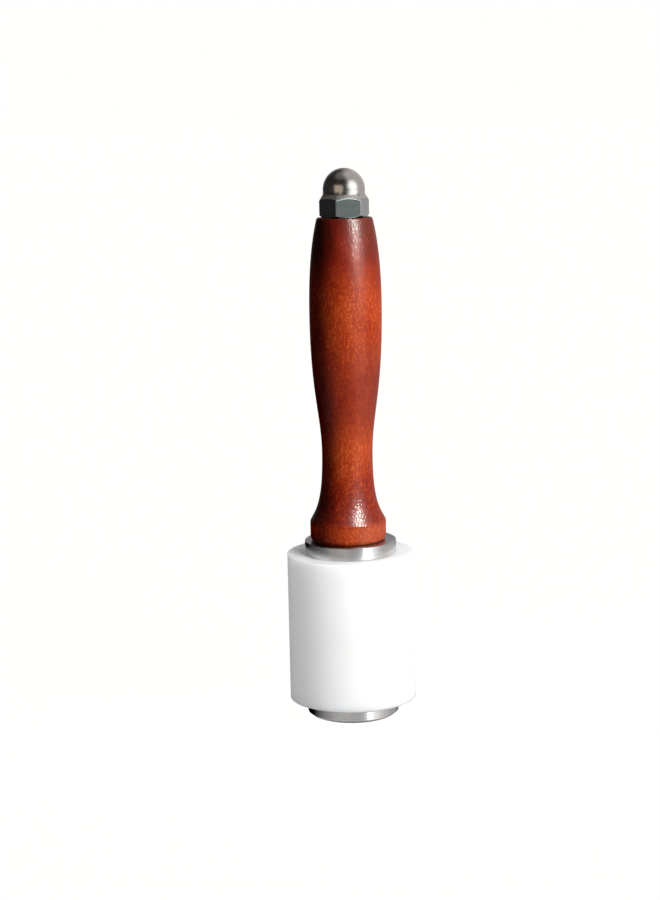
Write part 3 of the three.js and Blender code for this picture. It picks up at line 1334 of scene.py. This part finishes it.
@dataclass(frozen=True)
class CapNut:
    """The cap nut: a hexagon with a pressed dome welded on.

    Args:
        across_flats: Width of the hexagon.
        turn: How far the flat that faces the camera is turned towards +X.
        cone: Slope of the cones that cut the hexagon's corners back.
        corner_rounding: Rounding of the hexagon's upright edges.
        edge_rounding: Rounding of the edges where flats and cones meet.
        cone_rounding: Rounding of the edges where the cones meet the two faces.
        mouth: Chamfer of the threaded hole.
        wall: Wall of the dome.
        land: Width of the flat ring around the dome's foot, where the cone starts.
        foot_rounding: Rounding of the dome's foot, inside and outside.
        foot_held: Distance from that rounding at which the dome's wall gets a further point.
        bead_rise: How far the bead of weld metal climbs up the dome.
        bead_rounding: Rounding of the bead's outer edge.
        seam: Gap between the bead and the hexagon.
        dome_steps: Edges in a quarter of the dome.
        flat_steps: Columns across one flat of the hexagon.
        corner_steps: Columns around one corner of it.
        held: Distance from an edge at which a face gets a further row of points.
    """

    across_flats: float = 17.0 * MM
    turn: float = math.radians(10.9)
    cone: float = math.radians(33.0)
    corner_rounding: float = 0.4 * MM
    edge_rounding: float = 0.40 * MM
    cone_rounding: float = 0.05 * MM
    mouth: float = 0.6 * MM
    wall: float = 1.3 * MM
    land: float = 0.3 * MM
    foot_rounding: Point = (0.15 * MM, 0.05 * MM)
    foot_held: float = 0.3 * MM
    bead_rise: float = 1.45 * MM
    bead_rounding: float = 0.06 * MM
    seam: float = 0.02 * MM
    dome_steps: int = 40
    flat_steps: int = 26
    corner_steps: int = 4
    held: float = 0.25 * MM

    def _plan(self) -> list[Vector]:
        """The hexagon's outline seen from above, with rounded corners.

        Returns:
            Its points, once round.
        """
        slant = math.cos(math.pi / 6)
        centre_out = self.across_flats / 2 / slant - self.corner_rounding / slant
        plan: list[Vector] = []
        for side in range(6):
            middle = self.turn - QUARTER_TURN + side * math.pi / 3
            start, stop = (centre_out * heading(middle + way * math.pi / 6) for way in (-1, 1))
            for step in range(self.flat_steps + 1):
                share = (1.0 - math.cos(math.pi * step / self.flat_steps)) / 2
                plan.append(start.lerp(stop, share) + self.corner_rounding * heading(middle))
            for step in range(1, self.corner_steps):
                angle = middle + math.pi / 3 * step / self.corner_steps
                plan.append(stop + self.corner_rounding * heading(angle))
        return plan

    def _ring(self, name: str, section: Callable[[float], Outline], material: Material) -> Piece:
        """Builds a ring with the hexagon's plan, as one skin of upright columns.

        Args:
            name: The piece's name.
            section: Gives the ring's section where the plan is so far from the axis.
            material: The finish.

        Returns:
            The piece.
        """
        work = bmesh.new()
        columns: list[list[bmesh.types.BMVert]] = []
        for place in self._plan():
            ray = place.normalized()
            points = section(place.length).points()[:-1]
            columns.append([work.verts.new((r * ray.x, r * ray.y, z)) for r, z in points])
        for column, following in zip(columns, columns[1:] + columns[:1]):
            for row, vertex in enumerate(column):
                above = (row + 1) % len(column)
                face = work.faces.new((vertex, following[row], following[above], column[above]))
                face.smooth = True
        mesh = bpy.data.meshes.new(name)
        mesh.materials.append(material)
        piece = linked(name, mesh)
        finish_mesh(work, piece)
        return piece

    def _hexagon(self, flat_radius: float, bore: float, material: Material) -> Piece:
        """Builds the hexagon, with its corners cut back by a cone above and one below.

        Args:
            flat_radius: Radius at which the cones start.
            bore: Radius of the hole.
            material: The finish.

        Returns:
            The hexagon.
        """
        low, high = (corner.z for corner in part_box("cap_nut_hex"))
        inner = flat_radius - self.held

        def section(reach: float) -> Outline:
            """The section where the plan is so far from the axis."""
            rise = (reach - flat_radius) * math.tan(self.cone)
            outline = Outline(hold=high - low).run([(bore, low), (inner, low)])
            outline.add(flat_radius, low, self.cone_rounding)
            outline.add(reach, low + rise, self.edge_rounding)
            outline.run([(reach, low + rise + self.held), (reach, high - rise - self.held)])
            outline.add(reach, high - rise, self.edge_rounding)
            outline.add(flat_radius, high, self.cone_rounding)
            return outline.run([(inner, high), (bore, high)])

        return self._ring("cap_nut_hex_fine", section, material)

    def _bead(self, dome_radius: float, material: Material) -> Piece:
        """The weld metal that fills the corner between the hexagon's upper cone and the dome.

        Args:
            dome_radius: The dome's outer radius.
            material: The finish.

        Returns:
            The bead.
        """
        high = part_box("cap_nut_hex")[1].z
        flat_radius = dome_radius + self.land
        core = dome_radius - self.wall / 2

        def section(reach: float) -> Outline:
            """The section where the plan is so far from the axis."""
            edge = high - (reach - self.seam - flat_radius) * math.tan(self.cone) + self.seam
            outline = Outline(hold=high).run([(core, high + self.seam), (flat_radius, high + self.seam)])
            outline.add(reach - self.seam, edge, self.bead_rounding)
            return outline.run([(dome_radius, high + self.bead_rise), (core, high + self.bead_rise)])

        return self._ring("cap_nut_bead", section, material)

    def _dome(self, outer: float) -> Outline:
        """The outline of the dome: a cup, open below.

        Args:
            outer: The dome's outer radius.

        Returns:
            The outline.
        """
        foot, top = (corner.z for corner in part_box("cap_nut_dome"))
        inner = outer - self.wall
        centre = top - outer
        angles = [QUARTER_TURN * step / self.dome_steps for step in range(self.dome_steps + 1)]
        outline = Outline(closed=False, hold=self.foot_held)
        outline.run([(inner * math.sin(a), centre + inner * math.cos(a)) for a in angles])
        outline.add(inner, foot, self.foot_rounding[0])
        outline.add(outer, foot, self.foot_rounding[1])
        return outline.run([(outer * math.sin(a), centre + outer * math.cos(a)) for a in reversed(angles)])

    def build(self, shop: Shop) -> None:
        """Builds the hexagon, taps it, and sets the dome on it.

        Args:
            shop: What the pieces are made with.
        """
        hex_steel = HEX_STEEL.material()
        dome_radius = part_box("cap_nut_dome")[1].x - self.land
        low, high = (corner.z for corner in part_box("cap_nut_hex"))
        blank = self._hexagon(dome_radius + self.land, shop.overrun, hex_steel)
        hexagon = carve(blank, shop.tap(low, high, self.mouth, hex_steel), Cut.AWAY)
        shop.settle(hexagon, Body.CAP_NUT, Slot.NUT_STEEL, "cap_nut_hex")
        dome_steel = DOME_STEEL.material(high + self.bead_rise)
        dome = shop.turn("cap_nut_dome_fine", self._dome(dome_radius), dome_steel)
        dome = carve(dome, self._bead(dome_radius, dome_steel), Cut.JOIN)
        shop.settle(dome, Body.CAP_NUT, Slot.DOME_STEEL, "cap_nut_dome")


# Camera, floor and light


def aimed(azimuth: float, elevation: float) -> Vector:
    """A direction from the mallet.

    Args:
        azimuth: In degrees, counted from the camera's side towards +X.
        elevation: In degrees above the floor.

    Returns:
        A unit vector.
    """
    around, up = math.radians(azimuth), math.radians(elevation)
    return Vector((math.sin(around) * math.cos(up), -math.cos(around) * math.cos(up), math.sin(up)))


@dataclass(frozen=True)
class PhotoCamera:
    """The photograph's camera, as fitted to the outlines of the head, the discs and the nut.

    Args:
        width: Picture width in pixels.
        height: Picture height in pixels.
        focal: Focal length in pixels.
        elevation: How far the camera looks down, in degrees.
        lean: How far the mallet's axis leans in the picture, in degrees to the right.
        aim_x: Column of the centre of the head's upper face.
        aim_y: Row of that centre.
        depth: Distance of that centre along the camera's line of sight.
        sensor: Sensor size along the picture's long side, in millimetres.
    """

    width: int = 660
    height: int = 900
    focal: float = 2000.0
    elevation: float = 9.72
    lean: float = -1.17
    aim_x: float = 350.62
    aim_y: float = 551.44
    depth: float = 0.7897
    sensor: float = 36.0

    def build(self) -> None:
        """Makes the camera. In the view's own axes X is right, Y is down and Z is forward."""
        down, lean = math.radians(self.elevation), math.radians(self.lean)
        up = Vector((math.sin(lean) * math.cos(down), -math.cos(lean) * math.cos(down), -math.sin(down)))
        forward = Vector((0.0, 0.0, 1.0))
        away = (forward - up * forward.dot(up)).normalized()
        to_world = Matrix((away.cross(up), away, up))
        offset = Vector((self.aim_x - self.width / 2, self.aim_y - self.height / 2, self.focal))
        offset *= self.depth / self.focal
        aim = Vector((0.0, 0.0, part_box("nylon_head")[1].z))
        axes = [to_world @ Vector(axis) for axis in ((1, 0, 0), (0, -1, 0), (0, 0, -1))]
        pose = Matrix(axes).transposed().to_4x4()
        pose.translation = aim - to_world @ offset
        data = bpy.data.cameras.new("photo_camera")
        data.lens = self.focal * self.sensor / self.height
        data.sensor_width = self.sensor
        data.sensor_fit = "AUTO"
        camera = linked("photo_camera", data)
        camera.matrix_world = pose
        bpy.context.scene.camera = camera
        LOG.info("camera: lens %.0f mm at %s", data.lens, tuple(round(c, 3) for c in pose.translation))


class Effect(Enum):
    """What a lamp is for, as whether matt surfaces and glossy ones answer to it."""

    ALL = (True, True)
    MATT = (True, False)
    SHINE = (False, True)


WOOD = (Slot.STAINED_WOOD,)
NYLON = (Slot.WHITE_NYLON,)
DISCS = (Slot.TURNED_STEEL,)
HEXAGON = (Slot.NUT_STEEL,)
STEELS = (Slot.TURNED_STEEL, Slot.STUD_STEEL, Slot.NUT_STEEL, Slot.DOME_STEEL)
WHITE: Colour = (1.0, 1.0, 1.0)
WARM: Colour = (1.0, 0.96, 0.92)


@dataclass(frozen=True)
class Panel:
    """A soft rectangular light that looks at the mallet.

    Args:
        name: The light's name.
        azimuth: Its direction from the mallet, in degrees.
        elevation: Its elevation, in degrees.
        distance: Its distance.
        width: Its width.
        tall: Its height.
        glare: Its brightness, as a multiple of white paper.
        colour: Its colour.
        lights: The slots whose pieces it lights.
        effect: What it is for.
    """

    name: str
    azimuth: float
    elevation: float
    distance: float
    width: float
    tall: float
    glare: float
    colour: Colour
    lights: tuple[Slot, ...]
    effect: Effect = Effect.ALL

    def build(self, target: Vector, pieces: dict[Slot, list[Piece]]) -> None:
        """Makes the light.

        Args:
            target: What it looks at.
            pieces: The finished pieces of each slot.
        """
        data = bpy.data.lights.new(self.name, "AREA")
        data.shape = "RECTANGLE"
        data.size = self.width
        data.size_y = self.tall
        data.energy = self.glare * math.pi * self.width * self.tall
        data.color = self.colour
        light = linked(self.name, data)
        towards = aimed(self.azimuth, self.elevation)
        light.matrix_world = towards.to_track_quat("Z", "Y").to_matrix().to_4x4()
        light.location = target + towards * self.distance
        light.visible_camera = False
        light.visible_diffuse, light.visible_glossy = self.effect.value
        lit = bpy.data.collections.new(self.name + "_lights")
        for piece in sum((pieces[slot] for slot in self.lights), []):
            lit.objects.link(piece)
        light.light_linking.receiver_collection = lit
        LOG.info("light %s: %.2f W", self.name, data.energy)


@dataclass(frozen=True)
class Glow:
    """A soft bright patch of the room around the mallet. A negative one takes light away.

    Args:
        azimuth: Its direction, in degrees.
        elevation: Its elevation, in degrees.
        core: Angle from its middle within which it is fully bright, in degrees.
        reach: Angle at which it has faded away, in degrees.
        colour: Its brightness and colour.
    """

    azimuth: float
    elevation: float
    core: float
    reach: float
    colour: Colour


@dataclass(frozen=True)
class Studio:
    """A pale floor, a white room and soft light from the right.

    Args:
        floor_half: Half the side of the floor.
        floor_colour: The floor's colour.
        floor_shade: How much darker its faint clouds are, as a factor.
        floor_cloud: Size of these clouds.
        floor_tint: Colour of the light that the floor gives off, as a lit table does.
        floor_glow: Strength of that light.
        backdrop: What the camera sees beyond the floor.
        dim: The room's light where no patch is.
        room_fill: Share of the room's light that matt surfaces get.
        panels: The lamps.
        glows: The bright patches of the room.
    """

    floor_half: float = 20.0
    floor_colour: Colour = (0.30, 0.30, 0.30)
    floor_shade: float = 0.985
    floor_cloud: float = 0.4
    floor_tint: Colour = (1.0, 1.0, 0.98)
    floor_glow: float = 0.985
    backdrop: Colour = (1.0, 1.0, 0.99)
    dim: Colour = (0.030, 0.029, 0.028)
    room_fill: float = 0.25

    # Name, azimuth, elevation, distance, width, height, glare, colour, slots that are lit, effect
    panels: tuple[Panel, ...] = (
        Panel("key", 46.0, 28.0, 0.75, 0.20, 0.60, 13.4, WARM, WOOD, Effect.MATT),
        Panel("gloss", 42.0, 38.0, 0.75, 0.32, 0.68, 72.0, (0.90, 0.95, 0.92), WOOD, Effect.SHINE),
        Panel("nut_light", 22.0, 52.0, 0.75, 0.36, 0.30, 5.0, WHITE, HEXAGON, Effect.SHINE),
        Panel("back_fill", 185.0, 20.0, 0.90, 0.70, 0.70, 1.9, WARM, WOOD, Effect.MATT),
        Panel("head_key", 42.0, 27.0, 0.75, 0.40, 0.50, 14.6, WHITE, NYLON),
        Panel("head_fill", -75.0, 18.0, 0.75, 0.50, 0.50, 4.4, (0.97, 0.98, 1.0), NYLON),
        Panel("head_rim", 125.0, 26.0, 0.75, 0.40, 0.50, 3.2, WHITE, NYLON),
        Panel("disc_key", 41.0, -4.0, 0.75, 0.22, 0.30, 7.2, WHITE, DISCS),
        Panel("window", -30.0, 11.5, 0.90, 0.76, 0.54, 0.58, (1.0, 0.82, 0.62), STEELS),
    )

    # Azimuth, elevation, core, reach, colour
    glows: tuple[Glow, ...] = (
        Glow(50.0, 14.0, 2.0, 38.0, (1.36, 1.44, 1.40)),
        Glow(100.0, 22.0, 48.0, 78.0, (0.57, 0.54, 0.535)),
        Glow(-60.0, 82.0, 8.0, 36.0, (0.17, 0.165, 0.16)),
        Glow(180.0, 10.0, 8.0, 42.0, (0.25, 0.235, 0.25)),
        Glow(0.0, -80.0, 61.0, 75.0, (0.95, 0.93, 0.92)),
        Glow(0.0, -90.0, 25.0, 62.0, (-0.34, -0.34, -0.34)),
        Glow(180.0, -62.0, 15.0, 70.0, (-0.32, -0.32, -0.32)),
    )

    def build(self, pieces: dict[Slot, list[Piece]]) -> None:
        """Makes the floor, the room and the lights.

        Args:
            pieces: The finished pieces of each slot.
        """
        self._floor()
        self._room()
        low, high = CAD_BOX
        for panel in self.panels:
            panel.build((low + high) / 2, pieces)

    def _floor(self) -> None:
        """A plain pale floor that catches a soft shadow."""
        half = self.floor_half
        mesh = bpy.data.meshes.new("floor")
        corners = [(-half, -half, 0.0), (half, -half, 0.0), (half, half, 0.0), (-half, half, 0.0)]
        mesh.from_pydata(corners, [], [(0, 1, 2, 3)])
        floor = linked("floor", mesh)
        paint = Paint("pale_floor")
        clouds = paint.span(paint.noise(self.floor_cloud), 0.3, 0.7, 0.0, 1.0)
        shade = tuple(self.floor_shade * part for part in self.floor_colour)
        mesh.materials.append(
            paint.shade(
                Base_Color=paint.mix(clouds, self.floor_colour, shade),
                Roughness=0.9,
                Specular_IOR_Level=0.0,
                Emission_Color=self.floor_tint,
                Emission_Strength=self.floor_glow,
            )
        )
        floor.visible_diffuse = False
        floor.visible_glossy = False
        floor.visible_shadow = False

    def _room(self) -> None:
        """The room's light: what lights and mirrors in the mallet, and a plain pale backdrop."""
        world = bpy.data.worlds.new("room")
        bpy.context.scene.world = world
        world.use_nodes = True
        world.cycles.sampling_method = "NONE"
        world.node_tree.nodes.clear()
        nodes = NodeTree(world.node_tree)
        direction = nodes.step("ShaderNodeTexCoord", {}, "Generated")
        total: Socket | Colour = self.dim
        for glow in self.glows:
            feeds = {0: direction, 1: aimed(glow.azimuth, glow.elevation)}
            facing = nodes.step("ShaderNodeVectorMath", feeds, "Value", operation="DOT_PRODUCT")
            reach, core = (math.cos(math.radians(angle)) for angle in (glow.reach, glow.core))
            fade = nodes.span(facing, reach, core, 0.0, 1.0)
            tint = nodes.step("ShaderNodeVectorMath", {0: glow.colour, "Scale": fade}, operation="SCALE")
            total = nodes.step("ShaderNodeVectorMath", {0: tint, 1: total}, operation="ADD")
        path = nodes.step("ShaderNodeLightPath", {}).node.outputs
        share = nodes.span(path["Is Diffuse Ray"], 0.0, 1.0, 1.0, self.room_fill, Ease.STRAIGHT)
        room = nodes.step("ShaderNodeBackground", {"Color": total, "Strength": share})
        plain = nodes.step("ShaderNodeBackground", {"Color": self.backdrop})
        choose = nodes.step("ShaderNodeMixShader", {0: path["Is Camera Ray"], 1: room, 2: plain})
        nodes.feed(nodes.tree.nodes.new("ShaderNodeOutputWorld"), {"Surface": choose})


def main() -> None:
    """Builds the mallet from the foot upwards, then the studio."""
    logging.basicConfig(level=logging.INFO, format="%(name)s: %(message)s")
    bpy.context.scene.view_settings.view_transform = "Standard"
    shop = Shop(lathe=TurningTree(), die=ThreadTree(ThreadForm()))
    PhotoCamera().build()
    Head().build(shop)
    Stud.from_frame().build(shop)
    Handle().build(shop)
    CapNut().build(shop)
    Studio().build(shop.done)


if __name__ == "__main__":
    main()
